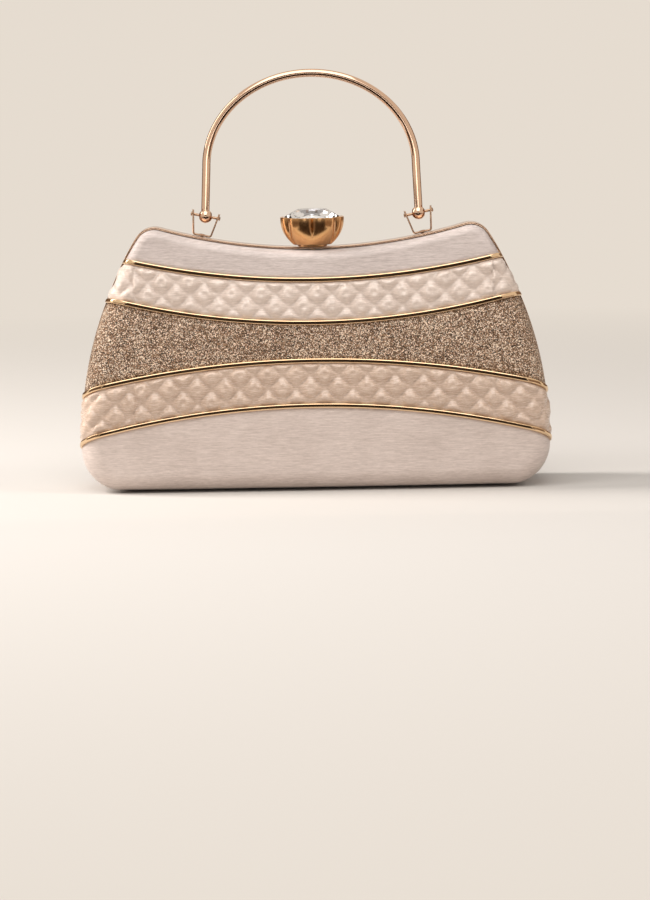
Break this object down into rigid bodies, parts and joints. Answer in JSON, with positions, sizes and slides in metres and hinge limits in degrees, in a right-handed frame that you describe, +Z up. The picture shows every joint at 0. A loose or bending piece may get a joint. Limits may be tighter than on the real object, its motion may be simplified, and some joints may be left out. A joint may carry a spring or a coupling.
{
  "type": "box clutch bag",
  "caption": "Hard box clutch: two fabric-covered shells in a hinged metal frame, with banded faces, trim strips, a wire arc handle and a jewelled push clasp.",
  "frame": {"origin": "under the middle of the bottom, on the surface that the two hinges stand on", "axes": "+X to the right seen from the front, +Y to the back, +Z up; the parting plane of the halves is Y = 0"},
  "size_m": [0.213, 0.0538, 0.1871],
  "materials": {
    "satin": "pinkish champagne satin with a fine horizontal grain",
    "quilt": "champagne satin quilted in puffed lozenges",
    "glitter": "taupe glitter fabric with sparkling grains",
    "shell": "plain moulded board",
    "lining": "smooth champagne lining",
    "frame": "polished rose-gold plating",
    "trim": "polished yellow-gold plating",
    "handle": "polished rose-gold plating",
    "cup": "satin bronze-gold plating",
    "crystal": "clear cut crystal",
    "steel": "plain steel",
    "hinge": "dark plated brass"
  },
  "bodies": {
    "back_half": {"back_frame": "frame", "back_shell": "shell", "back_lining": "lining", "back_satin_top": "satin", "back_quilt_upper": "quilt", "back_glitter_band": "glitter", "back_quilt_lower": "quilt", "back_satin_bottom": "satin", "back_trim_1": "trim", "back_trim_2": "trim", "back_trim_3": "trim", "back_trim_4": "trim", "back_catch": "steel", "back_hinge_leaf_left": "hinge", "back_hinge_leaf_right": "hinge", "hinge_pin_left": "steel", "hinge_pin_right": "steel", "handle_clip_left": "handle", "handle_clip_right": "handle", "handle_pin_left": "handle", "handle_pin_right": "handle", "clip_rivet_left": "handle", "clip_rivet_right": "handle"},
    "front_half": {"front_frame": "frame", "front_shell": "shell", "front_lining": "lining", "front_satin_top": "satin", "front_quilt_upper": "quilt", "front_glitter_band": "glitter", "front_quilt_lower": "quilt", "front_satin_bottom": "satin", "front_trim_1": "trim", "front_trim_2": "trim", "front_trim_3": "trim", "front_trim_4": "trim", "front_hinge_leaf_left": "hinge", "front_hinge_leaf_right": "hinge", "clasp_collar": "cup"},
    "handle": {"handle_bow": "handle", "handle_ball_left": "handle", "handle_ball_right": "handle"},
    "clasp_button": {"clasp_cup": "cup", "clasp_crystal": "crystal", "clasp_stem": "steel", "clasp_spring": "steel"}
  },
  "joints": [
    {"name": "front_opening", "type": "hinge", "parent": "back_half", "child": "front_half", "pos_m": [0, 0, 0.0012], "axis": [1, 0, 0], "range_deg": [0, 80]},
    {"name": "handle_swing", "type": "hinge", "parent": "back_half", "child": "handle", "pos_m": [0, 0.00265, 0.12193], "axis": [1, 0, 0], "range_deg": [-105, 105]},
    {"name": "clasp_press", "type": "slide", "parent": "front_half", "child": "clasp_button", "axis": [0, 0, -1], "range_m": [0, 0.0009], "stiffness_N_per_m": 300, "springref_m": -0.004, "deforming": ["clasp_spring"]}
  ]
}
